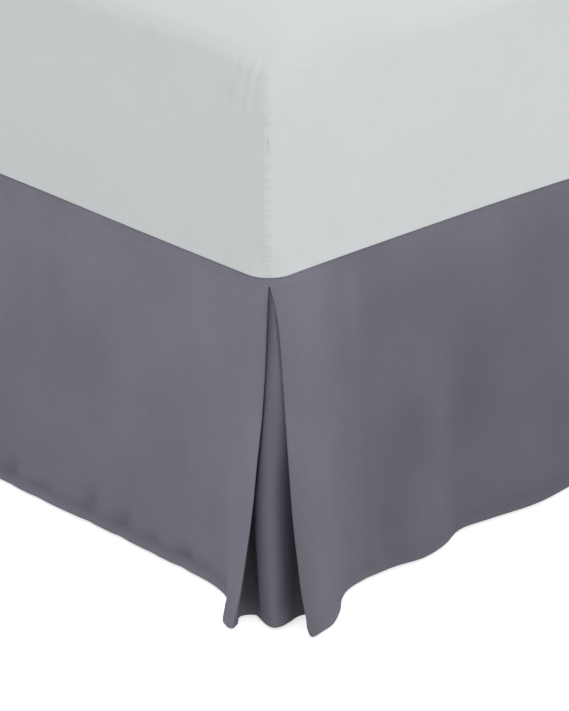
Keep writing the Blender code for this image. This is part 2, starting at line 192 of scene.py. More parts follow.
LEFT_CREASES = milli(
    (124, 8, 127, 140, 12, 1.8), (175, 120, 170, 300, 24, -2), (235, 180, 246, 360, 16, 2),
    (330, 90, 322, 280, 32, -2.6), (430, 150, 445, 350, 32, 2.2), (540, 60, 530, 270, 34, -2.2),
    (660, 130, 672, 350, 30, 2.4), (790, 80, 780, 300, 36, -2.2), (920, 150, 932, 360, 32, 2),
    (1060, 60, 1050, 260, 36, -2.4), (1190, 120, 1200, 340, 32, 2.4), (1330, 80, 1320, 300, 36, -2),
    (1480, 150, 1490, 360, 30, 2.2), (1640, 70, 1630, 290, 36, -2.2), (1790, 130, 1800, 350, 32, 2),
    (1900, 60, 1890, 250, 30, -1.6))
FOOT_FURROW = 0.0026
SIDE_FURROW = 0.0010
FURROW_LEVEL = 0.0130
FURROW_HALF_WIDTH = 0.0070
DROP_SWELL = 0.0007
DECK_SWELL = 0.00018
PUCKER_SPACING = 0.011
PUCKER_HEIGHT = 0.00035
# Painted shade: how much darker the colour is painted on the underlay and on the returns, in the recesses
# behind the pleat's front.
UNDERLAY_PAINTED_SHADE = -1.0
RETURN_PAINTED_SHADE = -0.5
# How strongly the creases darken their hollows with painted shade and lighten their ridges with painted
# light.
PAINTED_SHADE_ON_FOLDS = 50

# ---- the bed ----

SHEET_TOP_EDGE = 0.018
SHEET_CORNER = 0.034
SHEET_BULGE = 0.0012
TUCK = 0.0014
TUCK_RUN = TUCK * math.pi / 2
SHEET_SIDE = MATTRESS_HIGH.z - MATTRESS_LOW.z - TUCK - SHEET_TOP_EDGE
CROWN = 0.012
CROWN_REACH = 0.13
CROWN_SLOPE = math.atan(CROWN / (CROWN_REACH * BED_WIDTH / 2))
SEAM_RIDGE = 0.0004
GATHER_HEIGHT = 0.0032
SEAM_TOP = 0.216
SEAM_REACH = 0.0075
SEAM_BUMP = 0.0064
SEAM_CORNER = 0.011
SEAM_THREAD = 0.0009
SEAM_CLOTH = 0.0008
SHEET_SWELL = 0.0009
SHEET_RIPPLE = 0.0003
COVER_SWELL = 0.0005
LEG_SIDES = 48
CORD_STEPS = 10
CORD_RADIUS = 0.012
CORD_RISE = 0.0115
BOX_INSET = 0.0094

# How far in to the spine the rows lie, as shares: on the deck and under the mattress, and on its crown.
INNER_SHARES = (0.75, 0.40, 0.15, 0.10, 0.04, 0.02)
CROWN_SHARES = (0.012, 0.03, 0.055, 0.09, 0.14, 0.20, 0.28, 0.38, 0.50, 0.63, 0.76)

# How far the mattress's foot, with the rim under it, is lifted. Columns: distance round the bed from the
# middle of the right foot corner, lift.
LIFT = milli(
    (-9000, 1), (-700, 1), (-420, 2.1), (-200, 1.3), (-60, 1.4), (0, 2), (50, 3.2), (150, 4.3), (300, 4.9),
    (420, 4), (550, 2.1), (900, 1.6), (1400, 1), (9000, 1))

# How much the mattress's top rises towards its foot end, away from its sides.
RISE = 0.008

# How far the corner by the camera is worn down at its top edge. Columns: distance round as above, depth.
WORN = milli(
    (-9000, 0), (-70, 0), (-45, 1.5), (-20, 6), (0, 8.5), (40, 9), (90, 8.5), (120, 5), (160, 2), (200, 0),
    (9000, 0))
WORN_REACH = 0.026

# A leg in section. Columns: share of its height below the top, radius.
LEG_SECTION = milli(
    (0, 29.4), (12, 30), (90, 30), (105, 29.3), (112, 28.2), (125, 28.4), (300, 27), (500, 25.5), (700, 24),
    (900, 22.5), (960, 22), (985, 21.4), (997, 20), (1000, 18.5))

# Creases in the fitted sheet. Columns: distance round the bed from the middle of the right foot corner,
# to the head along the right side and below nought along the foot, and distance up from the sheet's foot,
# at each end, half width, height.
SHEET_CREASES = milli(
    (-13, 252, -18, 196, 2.4, -1.6), (-20, 250, -25, 190, 2.4, 1.4), (-27, 248, -31, 205, 2.2, -1.5),
    (-33, 250, -39, 196, 2.4, 1.2), (-40, 250, -46, 205, 2.2, -1.5), (-46, 220, -52, 172, 2.6, 1.4),
    (-52, 216, -58, 174, 2.4, -1.6), (-57, 246, -63, 203, 2.6, -1.2), (-66, 206, -72, 176, 2.6, -1.3),
    (-74, 204, -79, 178, 2.6, 1), (-104, 236, -108, 222, 3.6, -1.2), (-22, 196, -30, 150, 3.4, 1),
    (20, 226, 52, 196, 5, 1), (30, 235, 74, 208, 5, -0.9), (16, 186, 34, 176, 3.6, 1),
    (-190, 262, -180, 205, 5, -2.4), (-204, 264, -193, 215, 5, 1.8), (-225, 262, -205, 232, 16, -2),
    (-110, 200, -104, 90, 20, 1.2), (-290, 240, -330, 60, 26, 1.8), (-420, 220, -400, 70, 28, -1.6),
    (-560, 250, -600, 80, 24, 1.6), (-760, 230, -730, 60, 30, -1.6), (-930, 250, -960, 90, 26, 1.8),
    (-1130, 230, -1100, 70, 28, -1.6), (-1290, 250, -1320, 100, 24, 1.6), (140, 190, 160, 60, 30, -1),
    (320, 230, 290, 80, 28, 1.4), (470, 240, 500, 70, 30, -1.4), (660, 220, 640, 60, 28, 1.6),
    (850, 250, 880, 80, 30, -1.4), (1060, 230, 1030, 60, 28, 1.6), (1270, 240, 1300, 80, 30, -1.4),
    (1480, 230, 1450, 70, 28, 1.4), (1690, 250, 1720, 80, 30, -1.4), (1880, 230, 1860, 70, 26, 1.4))

# ---- the studio and its camera ----

SKY_LIGHT = 0.965
HORIZON_LIGHT = 1.01
HORIZON_TOP = 0.12
FLOOR_GLOW = 0.70
FLOOR_REACH = 90.0

# Lamps are name, place, what they face, size and power in watts.
LAMPS = [
    ("right", (5.4, -1.1, 1.5), (0.75, -0.9, 0.4), 2.4, 23),
    ("back", (-0.5, 7.3, 2.0), (0.2, -0.6, 0.6), 2.4, 260),
]

# The camera's focal length in millimetres, its place from the foot of the right foot corner, and its
# degrees round the bed and up.
LENS = 178.73
CAMERA_FROM_CORNER = (2.6145, -2.3879, 1.8253)
CAMERA_ANGLES = (47.315, 23.128)


# ---- meshes ----


def link(made):
    bpy.context.scene.collection.objects.link(made)
    return made


def surface(name, places, material, wrap=False):
    """A smooth mesh through a table of places. Its rows run outwards and down, and its columns
    anticlockwise, so that it faces outwards. Where it wraps, the last column meets the first one."""
    index = np.arange(places[..., 0].size).reshape(places.shape[:2])
    if wrap:
        index = np.hstack([index, index[:, :1]])
    faces = np.stack([index[:-1, :-1], index[1:, :-1], index[1:, 1:], index[:-1, 1:]], axis=-1)
    mesh = bpy.data.meshes.new(name)
    mesh.from_pydata(places.reshape(-1, 3).tolist(), [], faces.reshape(-1, 4).tolist())
    mesh.shade_smooth()
    mesh.materials.append(material)
    return link(bpy.data.objects.new(name, mesh))


def add_cloth_data(piece, lengths, nap_and_painted_shade):
    """Gives a mesh a UV map of the cloth's own lengths in metres, and the painted shade and painted light
    that darken or lighten its colour.
    """
    corners = np.empty(len(piece.data.loops), dtype=np.int32)
    piece.data.loops.foreach_get("vertex_index", corners)
    uv_map = piece.data.uv_layers.new(name="cloth")
    uv_map.data.foreach_set("uv", lengths.reshape(-1, 2)[corners].ravel())
    piece.data.attributes.new("nap_and_painted_shade", "FLOAT", "POINT").data.foreach_set("value", nap_and_painted_shade.ravel())


def evaluated_mesh(piece):
    evaluated = piece.evaluated_get(bpy.context.evaluated_depsgraph_get())
    return bpy.data.meshes.new_from_object(evaluated)


def give_thickness(piece, thickness, weights=None, thinnest=1.0):
    """Makes a surface a closed sheet that keeps the corner where its face meets its edge. weights is 1
    where it has its full thickness, and 0 where it has the thinnest share of it."""
    cloth = piece.modifiers.new("cloth", "SOLIDIFY")
    cloth.thickness, cloth.offset = thickness, 0
    if weights is not None:
        group = piece.vertex_groups.new(name="thick")
        for vertex, weight in enumerate(weights.ravel().tolist()):
            if weight > 0:
                group.add([vertex], weight, "REPLACE")
        cloth.vertex_group, cloth.thickness_vertex_group = "thick", thinnest
    made = evaluated_mesh(piece)
    piece.modifiers.clear()
    piece.data = made
    made.name = piece.name
    made.set_sharp_from_angle(angle=SHARP_ANGLE)


def close_shell(piece):
    """Caps both ends of a wrapped surface."""
    shape = bmesh.new()
    shape.from_mesh(piece.data)
    bmesh.ops.holes_fill(shape, edges=[edge for edge in shape.edges if edge.is_boundary])
    bmesh.ops.recalc_face_normals(shape, faces=shape.faces)
    for face in shape.faces:
        face.smooth = True
    shape.to_mesh(piece.data)
    shape.free()


def normals(places):
    """The outward way at each place of a table of places."""
    normal = np.cross(np.gradient(places, axis=0), np.gradient(places, axis=1))
    return normal / np.maximum(np.linalg.norm(normal, axis=-1, keepdims=True), 1e-12)


def soft_noise(places, size, seed):
    """Smooth noise between -1 and 1 at each place, with swells of about that size in metres. The places
    are a table of them, or their coordinates one by one."""
    if isinstance(places, tuple):
        places = np.stack(np.broadcast_arrays(*places), axis=-1)
    offset = Vector((seed * 17.3, seed * 5.7, seed * 11.1))
    flat = (places.reshape(-1, places.shape[-1]) / size).tolist()
    values = [noise.noise(Vector((*place, 0, 0)[:3]) + offset) for place in flat]
    return np.array(values).reshape(places.shape[:-1])


# ---- curves ----


def hermite(start, end, start_slope, end_slope, share):
    s2, s3 = share ** 2, share ** 3
    return (start * (2 * s3 - 3 * s2 + 1) + end * (3 * s2 - 2 * s3)
            + start_slope * (s3 - 2 * s2 + share) + end_slope * (s3 - s2))


def value_at(rows, at, column=1):
    """A column of a table at a place in its first column, on a smooth curve through the rows."""
    i = 0
    while i < len(rows) - 2 and at > rows[i + 1][0]:
        i += 1
    start, end = rows[i], rows[i + 1]
    span = end[0] - start[0]
    slopes = [(after[column] - before[column]) / (after[0] - before[0]) * span
              for before, after in ((rows[max(i - 1, 0)], end), (start, rows[min(i + 2, len(rows) - 1)]))]
    return hermite(start[column], end[column], *slopes, min(max((at - start[0]) / span, 0), 1))


def values_at(rows, places, column=1):
    return np.array([value_at(rows, at, column) for at in places.tolist()])


def smooth(share):
    share = np.clip(share, 0, 1)
    return share * share * (3 - 2 * share)


def hump(at, middle, width):
    """1 in the middle, fading to 0 on both sides."""
    return np.exp(-((at - middle) / width) ** 2)


def relief_of(creases, across, down):
    """How far a table of soft creases raises a cloth at places given by their distances across and down."""
    relief = np.zeros(np.broadcast(across, down).shape)
    for start_across, start_down, end_across, end_down, width, height in creases:
        way = np.array([end_across - start_across, end_down - start_down])
        length = np.hypot(*way)
        way /= length
        ahead = ((across - start_across) * way[0] + (down - start_down) * way[1]) / length
        aside = (down - start_down) * way[0] - (across - start_across) * way[1]
        fade = smooth((ahead + 0.3) / 0.6) * smooth((1.3 - ahead) / 0.6)
        relief = relief + height * hump(aside, 0, width) * fade
    return relief


# ---- columns of cloth ----

# A column runs from its top to its hem. law says how it moves from the one to the other, and along is its
# distance along the face, or -1 behind the front. run is its distance along the underlay, or -1 off it, and
# returned is its share of the hollow behind the foot's lip and of the one behind the side's.
Column = namedtuple("Column", "top hem law along run returned tucked openness",
                    defaults=(-1, (0, 0), Vector(TUCKED_WAY), 1.0))


def layer_place(layer, run):
    """A place on a layer of cloth at the top of a pleat. run is the distance from the middle of the corner,
    towards the side where it is positive and towards the foot where it is negative."""
    radius = CORNER_RADIUS - CLOTH / 2 - layer * LAYER_PITCH
    half_arc = radius * math.pi / 4
    angle = math.pi / 4 - max(-half_arc, min(half_arc, run)) / radius
    place = Vector((radius * math.cos(angle), radius * math.sin(angle))) - Vector((1, 1)) * CORNER_RADIUS
    beyond = max(abs(run) - half_arc, 0)
    return place - (Vector((0, beyond)) if run > 0 else Vector((beyond, 0)))


def pleat_hem_parts():
    """The fine points of each part of the pleat's hem, each with its run from the part's start, on one
    smooth line through them all."""
    points = [Vector(point) for part in PLEAT_HEM.values() for point in part]
    spans = zip(points[:1] + points, points, points[1:], points[2:] + points[-1:])
    fine = [hermite(start, end, (end - before) / 2, (after - start) / 2, step / PLEAT_STEPS)
            for before, start, end, after in spans for step in range(PLEAT_STEPS)] + points[-1:]
    parts, first = {}, 0
    for name, rows in PLEAT_HEM.items():
        last = min(first + len(rows) * PLEAT_STEPS, len(fine) - 1)
        line = fine[first:last + 1]
        runs = np.cumsum([0] + [(b - a).length for a, b in zip(line, line[1:])])
        parts[name] = list(zip(line, runs.tolist()))
        first = last
    return parts


def turned(part):
    """A part of the hem from its other end."""
    return [(place, part[-1][1] - run) for place, run in reversed(part)]


def mixed(law_a, law_b, share):
    return tuple(a + (b - a) * share for a, b in zip(law_a, law_b))


def fold(front_layer, edge_run, turn, sign):
    """A layer and run on the round of a fold between a layer and the one behind it. turn goes from -1 on
    the front layer to 1 on the one behind, and sign is 1 where the cloth lies at larger runs."""
    angle = turn * math.pi / 2
    layer = front_layer + 0.5 + 0.5 * math.sin(angle)
    return layer, edge_run + sign * LAYER_PITCH / 2 * (1 - math.cos(angle))


def lip(part, plain_start, edge_law, direction):
    """The front of a pleat from its folded edge outwards. direction is 1 on the side and -1 on the foot."""
    length = part[-1][1]
    beyond_corner = (CORNER_RADIUS - CLOTH / 2) * math.pi / 4 - CORNER_RADIUS
    top_length = beyond_corner + plain_start
    columns = []
    for hem, run in part:
        if run < FOLD_SPAN:
            layer, top_run = fold(0, EDGE_GAP, -run / FOLD_SPAN, 1)
        else:
            layer = 0
            top_run = FOLD_START + (run - FOLD_SPAN) / (length - FOLD_SPAN) * (top_length - FOLD_START)
        law = mixed(edge_law, PLAIN_LAW, smooth(run / length))
        columns.append(Column(layer_place(layer, direction * top_run), hem, law, top_run - beyond_corner))
    return columns


def back(part, edge_law, direction):
    """The cloth that runs back under the front, from the folded edge to the back fold."""
    length = part[-1][1]
    columns = []
    for hem, run in part:
        share = run / length
        if run < FOLD_SPAN:
            layer, top_run = fold(0, EDGE_GAP, run / FOLD_SPAN, 1)
        elif run > length - FOLD_SPAN:
            layer, top_run = fold(1, PLEAT_DEPTH, (run - length) / FOLD_SPAN, -1)
        else:
            inner = (run - FOLD_SPAN) / (length - 2 * FOLD_SPAN)
            layer, top_run = 1, FOLD_START + inner * (PLEAT_DEPTH - LAYER_PITCH / 2 - FOLD_START)
        columns.append(Column(layer_place(layer, direction * top_run), hem,
                              mixed(edge_law, UNDERLAY_LAW, share), -1,
                              returned=(0, share) if direction > 0 else (share, 0)))
    return columns


def underlay(part):
    """The cloth behind the opening, from the back fold on the foot to the one on the side."""
    length = part[-1][1]
    columns = []
    for hem, run in part:
        from_fold = min(run, length - run)
        if from_fold < FOLD_SPAN:
            layer, top_run = fold(1, PLEAT_DEPTH, from_fold / FOLD_SPAN, -1)
            top_run *= 1 if run > length / 2 else -1
        else:
            share = (run - FOLD_SPAN) / (length - 2 * FOLD_SPAN)
            layer, top_run = BACK_LAYER, (2 * share - 1) * (PLEAT_DEPTH - LAYER_PITCH / 2)
        columns.append(Column(layer_place(layer, top_run), hem, UNDERLAY_LAW, -1, run))
    return columns


def off_seam(column, towards_side):
    """The edge of one drop's cloth, moved off the seam where it is sewn to the other's, face to face."""
    return column._replace(top=column.top + Vector((towards_side * (CLOTH / 2 + SEAM_GAP), 0)),
                           hem=column.hem + Vector((towards_side * (HEM_CLOTH / 2 + SEAM_GAP), 0)))


def foot_half_pleat():
    """From the plain foot to the seam of the underlay."""
    parts = pleat_hem_parts()
    columns = lip(turned(parts["foot lip"]), -PLEAT_HEM["foot lip"][0][0], FOOT_EDGE_LAW, -1)[::-1]
    columns += back(parts["foot return"], FOOT_EDGE_LAW, -1)[1:] + underlay(parts["underlay"])[1:]
    return columns[:-1] + [off_seam(columns[-1], -1)]


def side_half_pleat():
    """From the seam of the side drop to the plain side."""
    parts = pleat_hem_parts()
    behind = back(turned(parts["side return"]), SIDE_EDGE_LAW, 1)[::-1]
    front = lip(parts["side lip"], -PLEAT_HEM["side lip"][-1][1], SIDE_EDGE_LAW, 1)
    return [off_seam(behind[0], 1)] + behind[1:-1] + front


def plain(hem_rows, outwards):
    """The plain stretch of a drop. outwards turns (along the face, outside it) into a place."""
    start, end = hem_rows[0][0], hem_rows[-1][0]
    return [Column(outwards(along, -CLOTH / 2), outwards(along, value_at(hem_rows, along)), PLAIN_LAW, along)
            for along in np.linspace(start, end, round((end - start) / PLAIN_STEP) + 1).tolist()]


# ---- the drops ----


def in_bed(columns, side, openness):
    """Columns placed at the right foot corner, where side is 1, or the left one, where it is -1. openness
    is the share of the pleat's full opening that its hem has."""
    corner = Vector((RIGHT_FACE if side > 0 else LEFT_FACE, FOOT_FACE))
    turn = Vector((side, -1))
    return [column._replace(top=corner + column.top * turn, hem=corner + column.hem * turn,
                            tucked=column.tucked * turn, openness=openness) for column in columns]


def foot_columns():
    right = in_bed(foot_half_pleat(), 1, 1.0)
    left = [column._replace(along=BED_WIDTH - column.along if column.along >= 0 else -1)
            for column in in_bed(foot_half_pleat(), -1, LEFT_PLEAT_OPENNESS)]
    middle = in_bed(plain(FOOT_HEM, lambda along, outside: Vector((-along, outside)))[::-1], 1, 1.0)
    return left[::-1] + middle[1:-1] + right


def side_columns(side, hem_rows, openness):
    columns = in_bed(side_half_pleat(), side, openness)
    columns += in_bed(plain(hem_rows, lambda along, outside: Vector((outside, -along))), side, 1.0)[1:]
    return columns if side > 0 else columns[::-1]


def pleat_depth(columns, shares):
    """How deep each column lies in a pleat's hollows at each share of the drop's height."""
    run = np.array([column.run for column in columns])[None, :]
    returned = np.array([column.returned for column in columns])
    foot, side, swell, foot_end, crest, side_start, side_end = (
        values_at(HOLLOWS, shares, i)[:, None] for i in range(1, 8))
    in_foot = np.clip((foot_end - run) / HOLLOW_EDGE, 0, 1)
    in_side = smooth((run - side_start) / (side_end - side_start))
    rising = (run - foot_end) / (crest - foot_end)
    falling = SWELL_FALL * (run.max() - run) / np.maximum(run.max() - crest, 1e-6)
    on_swell = smooth(np.where(run < crest, rising, falling))
    under = (run >= 0) * (foot * in_foot + side * in_side - swell * on_swell)
    return under + foot * returned[:, 0] + side * returned[:, 1]


def cloth_places(columns, depths):
    """Where a drop's columns lie at each depth below its top edge: a table, rows by columns by x, y, z."""
    tops, hems, tucked, laws, openness = (
        np.array([np.array(getattr(column, name)) for column in columns])
        for name in ("top", "hem", "tucked", "law", "openness"))
    shares = np.clip(depths / DROP_HEIGHT, 0, None)
    moves = np.array([values_at(OPENING, shares, 1), values_at(OPENING, shares, 2),
                      shares ** UNDERLAY_POWER, shares ** WAVE_POWER]).T
    pleated = laws.sum(axis=1)
    moved = moves @ np.vstack([laws.T, 1 - pleated]) * (1 + (openness - 1) * pleated)
    depth = pleat_depth(columns, shares) * openness
    centres = np.stack([np.clip(tops[:, 0], LEFT_FACE + CORNER_RADIUS, RIGHT_FACE - CORNER_RADIUS),
                        np.maximum(tops[:, 1], FOOT_FACE + CORNER_RADIUS)], axis=1)
    outwards = (tops - centres) / np.linalg.norm(tops - centres, axis=1, keepdims=True)
    lean = RIM_LEAN * (1 - np.clip(depths / RIM_ROLL, 0, 1)) ** 2
    across = tops + (hems - tops) * moved[..., None] + tucked * depth[..., None]
    across = across - outwards[None] * lean[:, None, None]
    height = np.broadcast_to(RIM_BOTTOM - SEAM_GAP - depths[:, None, None], moved.shape + (1,))
    return np.concatenate([across, height], axis=2)


def painted_side_shade(along, down):
    """How much darker the side drops' colour is painted, as painted shade: least by the pleat and the top,
    most half way down, and more along the lip's edge in its lower part.
    """
    lower = smooth(down / 0.07)
    beyond = smooth((along - 0.045 - 0.08 * down) / 0.11) * (0.72 + 0.28 * hump(down, 0.22, 0.12))
    at_lip = hump(along, 0.009, 0.014) * smooth((down - 0.16) / 0.10)
    return 0.42 * lower + 0.72 * beyond * (1 + 0.15 * smooth((along - 0.34) / 0.12)) + 0.45 * at_lip


def painted_underlay_shade(columns, shares):
    """The painted shade on the cloth behind the opening: dark in the pleat's recess, with painted light that
    makes it lighter at its top and by the foot's lip.
    """
    from_end = np.array([column.run for column in columns])[None, :] - values_at(HOLLOWS, shares, 4)[:, None]
    upper = 1 - smooth((shares - 0.20) / 0.26)[:, None]
    by_lip = hump(from_end, 0, 0.008) * (1 - smooth((shares - 0.40) / 0.25))[:, None]
    return UNDERLAY_PAINTED_SHADE + (0.8 + 0.5 * smooth((from_end - 0.006) / 0.008)) * upper + 0.7 * by_lip


def drop_depths():
    """How far below the top edge each row of a drop lies: close rows at its seam and its hem."""
    middle = np.arange(0.016, DROP_HEIGHT - 0.022, DROP_ROW_STEP)
    return np.concatenate([TOP_ROWS, middle, [DROP_HEIGHT - row[0] for row in HEM_SECTION[::-1]]])


def make_drop(name, columns, creases, furrow, painted_shading, material):
    """A hemmed drop with its waves, creases and puckers, and the line of the stitches above its hem. furrow
    is the depth of the soft one that its hem pulls above it, and the flag after it is 1 where the drop takes
    the side drops' painted shade and 0 where it takes the foot's. Its colour carries painted shade and
    painted light."""
    depths = drop_depths()
    places = cloth_places(columns, depths)
    along = np.array([column.along for column in columns])
    down = np.broadcast_to(depths[:, None], places.shape[:2])
    on_foot = columns[0].along < 0 and columns[-1].along < 0
    from_edge = np.minimum(along, BED_WIDTH - along) if on_foot else along
    from_edge = np.where(along < 0, 0, from_edge - CORNER_RADIUS / 4)
    front = smooth(from_edge / 0.03)
    steps = np.linalg.norm(np.diff(places, axis=1), axis=2)
    run = np.concatenate([np.zeros((len(depths), 1)), np.cumsum(steps, axis=1)], axis=1)
    above_hem = DROP_HEIGHT - down

    dip = hump(above_hem, FURROW_LEVEL, FURROW_HALF_WIDTH) * smooth((from_edge - 0.02) / 0.07)
    uneven = soft_noise((run + above_hem * 0.6, above_hem * 0.5), 0.026, 9)
    folds = relief_of(creases, along[None, :], down) - furrow * dip * (0.6 + 0.5 * uneven)
    swell = DROP_SWELL * soft_noise((run / 2.2, above_hem), 0.055, 2) * smooth(down / 0.06)
    pucker = soft_noise((run, above_hem * 0.25), PUCKER_SPACING, 1) * hump(above_hem, HEM_HEIGHT, 0.007)
    relief = (folds * smooth(down / 0.02) + swell) * front + PUCKER_HEIGHT * pucker * (0.35 + 0.65 * front)
    lie = 1 - smooth((down - (DROP_HEIGHT - 0.020)) / 0.020) * 0.25
    places = places + normals(places) * (relief * lie)[..., None]
    drop = surface(name, places, material)

    # Painted shade and painted light for the colour: darker in the recesses behind the pleat's front; on the
    # foot, lighter at the top and by the pleats and darker lower down; the side drops darker; darker in the
    # creases' hollows and the furrow above the hem, lighter on the creases' ridges and the hem's roll; and a
    # soft random tone.
    under = np.array([column.run for column in columns]) >= 0
    behind = np.where(under, painted_underlay_shade(columns, depths / DROP_HEIGHT), RETURN_PAINTED_SHADE)
    painted_foot_shade = 0.3 - 0.45 * smooth((down - 0.02) / 0.20) + 0.35 * hump(from_edge, 0, 0.11)
    nap_and_painted_shade = np.where(along < 0, behind, -painted_side_shade(along, down) if painted_shading else painted_foot_shade)
    painted_hem_light_and_shade = 0.4 * (1 - smooth((above_hem - 0.003) / 0.006)) - 0.35 * dip * (0.6 + 0.6 * uneven)
    nap_and_painted_shade = nap_and_painted_shade + (PAINTED_SHADE_ON_FOLDS * folds + painted_hem_light_and_shade * (furrow / FOOT_FURROW)) * front
    nap_and_painted_shade = nap_and_painted_shade + 0.10 * soft_noise((run / 2.2, above_hem), 0.13, 8)
    add_cloth_data(drop, np.stack([run - run[:, :1], -down], axis=-1), nap_and_painted_shade)

    thick = np.zeros(len(depths))
    thick[-len(HEM_SECTION):] = [row[1] for row in HEM_SECTION[::-1]]
    give_thickness(drop, HEM_CLOTH, np.repeat(thick[:, None], len(columns), axis=1), CLOTH / HEM_CLOTH)
    stitch_row = int(np.argmin(abs(depths - (DROP_HEIGHT - STITCH_LINE))))
    return drop, places[stitch_row] + normals(places)[stitch_row] * (CLOTH / 2 + STITCH_LIFT)


# ---- stitches ----


def add_node(tree, kind, inputs=(), **settings):
    """Adds a node with its settings. inputs gives each input's value, or the output to link it from, where
    a node stands for its first output."""
    made = tree.nodes.new(kind)
    for name, value in settings.items():
        setattr(made, name, value)
    for key, value in dict(inputs).items():
        if isinstance(value, bpy.types.Node):
            value = value.outputs[0]
        if isinstance(value, bpy.types.NodeSocket):
            tree.links.new(value, made.inputs[key])
        else:
            made.inputs[key].default_value = value
    return made


def stitch_tree():
    """Thread stitches spaced along an edge, each a small closed bead that lies along it."""
    tree = bpy.data.node_groups.new("row of stitches", "GeometryNodeTree")
    for name, in_out, kind in (("Geometry", "OUTPUT", "Geometry"), ("Line", "INPUT", "Geometry"),
                               ("Finish", "INPUT", "Material")):
        tree.interface.new_socket(name, in_out=in_out, socket_type="NodeSocket" + kind)
    given = tree.nodes.new("NodeGroupInput").outputs
    curve = add_node(tree, "GeometryNodeMeshToCurve", {"Mesh": given["Line"]})
    points = add_node(tree, "GeometryNodeCurveToPoints", {"Curve": curve, "Length": STITCH_PITCH},
                      mode="LENGTH")
    bead = add_node(tree, "GeometryNodeMeshUVSphere", {"Segments": 6, "Rings": 4, "Radius": 0.5})
    uneven = add_node(tree, "FunctionNodeRandomValue",
                      {"Min": (0.9, 0.9, 0.85), "Max": (1.1, 1.1, 1.1), "Seed": 5}, data_type="FLOAT_VECTOR")
    scale = add_node(tree, "ShaderNodeVectorMath", {0: STITCH_SIZE, 1: uneven}, operation="MULTIPLY")
    beads = add_node(tree, "GeometryNodeInstanceOnPoints",
                     {"Points": points, "Instance": bead, "Rotation": points.outputs["Rotation"],
                      "Scale": scale})
    real = add_node(tree, "GeometryNodeRealizeInstances", {"Geometry": beads})
    add_node(tree, "NodeGroupOutput",
             {0: add_node(tree, "GeometryNodeSetMaterial", {"Geometry": real, "Material": given["Finish"]})})
    return tree


def sew(name, line, material, tree):
    """A plain mesh of the stitches along a line of places."""
    mesh = bpy.data.meshes.new(name + " line")
    mesh.from_pydata(line.tolist(), [(i, i + 1) for i in range(len(line) - 1)], [])
    holder = link(bpy.data.objects.new(name + " line", mesh))
    sewing = holder.modifiers.new("stitches", "NODES")
    sewing.node_group = tree
    sewing[tree.interface.items_tree["Finish"].identifier] = material
    stitches = link(bpy.data.objects.new(name, evaluated_mesh(holder)))
    bpy.data.objects.remove(holder, do_unlink=True)
    stitches.data.name = name
    stitches.data.shade_smooth()
    return stitches


# ---- what is built round a rounded rectangle: the deck, the mattress and the box spring ----


def corner_centres(low, high, radius):
    """The centres of a rounded rectangle's corners, anticlockwise from the right foot corner."""
    left, right, foot, head = low.x + radius, high.x - radius, low.y + radius, high.y - radius
    return [(right, foot), (right, head), (left, head), (left, foot)]


def plan_loop(low, high, radius, fine, coarse, detail=1):
    """The loop round a rounded rectangle, anticlockwise from the right foot corner. Gives each column's
    place, outward way and distance round from the middle of that corner, below nought along the foot, and
    the whole loop's length."""
    arc_steps = ARC_STEPS * detail
    places, ways = [], []
    centres = corner_centres(low, high, radius)
    for i, centre in enumerate(centres):
        for step in range(arc_steps + 1):
            angle = (i - 1 + step / arc_steps) * math.pi / 2
            way = np.array([math.cos(angle), math.sin(angle)])
            ways.append(way)
            places.append(np.array(centre) + way * radius)
        follow = centres[(i + 1) % 4]
        span = math.dist(centre, follow)
        half = [0.0]
        while half[-1] + coarse < span / 2:
            half.append(half[-1] + min(fine * STEP_GROWTH ** (len(half) - 1), coarse))
        stops = half[1:] + [span / 2] + [span - stop for stop in half[:0:-1]]
        ahead = (np.array(follow) - np.array(centre)) / span
        start = places[-1]
        places += [start + ahead * stop for stop in stops]
        ways += [way] * len(stops)
    places, ways = np.array(places), np.array(ways)
    steps = np.linalg.norm(np.diff(places, axis=0), axis=1)
    run = np.concatenate([[0], np.cumsum(steps)])
    whole = run[-1] + np.linalg.norm(places[0] - places[-1])
    around = run - radius * math.pi / 4
    return places, ways, np.where(around > whole / 2, around - whole, around), whole


def lifted(table, around, weights):
    """A table of places with its rows lifted by their weights, as far as the foot of the mattress is."""
    lift = np.array(weights)[:, None] * values_at(LIFT, around)
    return table + np.array([0, 0, 1]) * lift[..., None]


def inner_weight(share):
    """How much of the lift a row has that has gone in to the spine by a share."""
    return float(smooth(1 - share / 0.10))


def lofted(loop, low, spine_end, profile):
    """A table of places round a loop. profile gives for each row how far it stands out, its height and how
    far it has gone in to the spine, which lies along the middle and ends at y = spine_end."""
    places, ways = loop
    spine = np.stack([np.full(len(places), BED_MIDDLE),
                      np.clip(places[:, 1], low.y + BED_WIDTH / 2, spine_end)], axis=1)
    rows = []
    for out, height, inwards in profile:
        row = places + ways * out
        row = row + (spine - row) * inwards
        rows.append(np.concatenate([row, np.full((len(row), 1), height)], axis=1))
    return np.array(rows)


